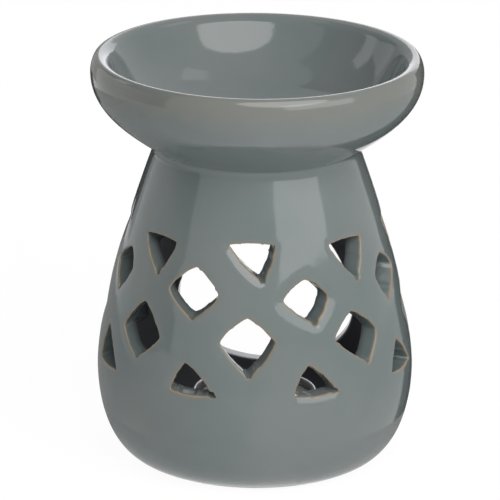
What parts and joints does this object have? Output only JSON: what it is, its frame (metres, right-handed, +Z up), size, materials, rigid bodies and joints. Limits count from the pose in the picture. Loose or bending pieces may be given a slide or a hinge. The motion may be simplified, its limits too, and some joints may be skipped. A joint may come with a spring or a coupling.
{
  "type": "wax melt burner",
  "caption": "Free-standing glazed ceramic wax melt burner: a shallow open dish luted on to a pear-shaped pierced body, with a tea light that lifts out through an egg-shaped rear opening.",
  "frame": {"origin": "on the table, under the middle of the foot", "axes": "+Z up, +Y towards the rear opening, -Y towards the front"},
  "size_m": [0.1, 0.1, 0.1254],
  "materials": {
    "glaze": "glossy grey-green glaze over buff clay",
    "foil": "pressed foil, satin",
    "wax": "plain paraffin wax, satin",
    "wick": "braided cotton"
  },
  "bodies": {
    "burner": {"pierced_body": "glaze", "luting_seam": "glaze", "dish": "glaze"},
    "tea_light": {"tealight_cup": "foil", "tealight_wax": "wax", "wick_tab": "foil", "wick": "wick"}
  },
  "joints": [
    {"name": "tealight_slide", "type": "slide", "parent": "burner", "child": "tea_light", "axis": [0, 0.866, 0.5], "range_m": [0, 0.09]}
  ]
}
